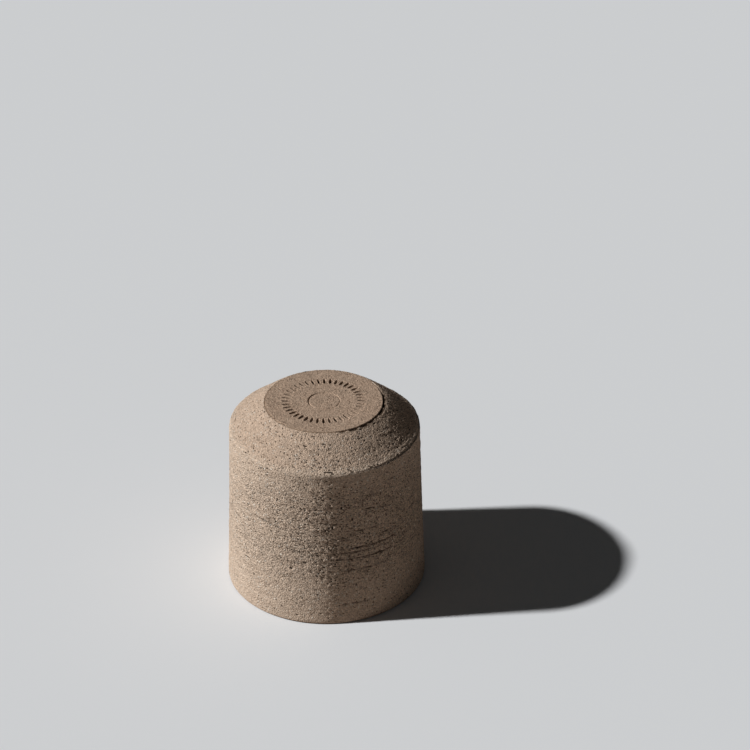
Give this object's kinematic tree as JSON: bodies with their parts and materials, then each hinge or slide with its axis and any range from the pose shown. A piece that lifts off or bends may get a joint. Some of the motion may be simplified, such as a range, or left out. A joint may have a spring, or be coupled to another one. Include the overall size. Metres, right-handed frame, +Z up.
{
  "type": "stoneware cup",
  "caption": "Small straight-sided drinking cup in coarse unglazed stoneware, mouth down, with a bevelled shoulder and a stamped foot pad.",
  "frame": {"origin": "centre of the plane that the rim rests on, as the cup stands mouth down", "axes": "+Z up along the cup's own axis, out of the foot; -Y towards the viewer of the picture; +X to the right"},
  "size_m": [0.08, 0.08, 0.08],
  "materials": {
    "groggy_stoneware": "unglazed, sandy, matt",
    "dry_slip": "fired slip, matt",
    "stamped_stoneware": "unglazed, smoothed, matt",
    "liner_glaze": "glossy"
  },
  "bodies": {
    "root": {"thrown_body": "groggy_stoneware", "luting_slip": "dry_slip", "foot_pad": "stamped_stoneware", "liner_glaze": "liner_glaze"}
  },
  "joints": []
}
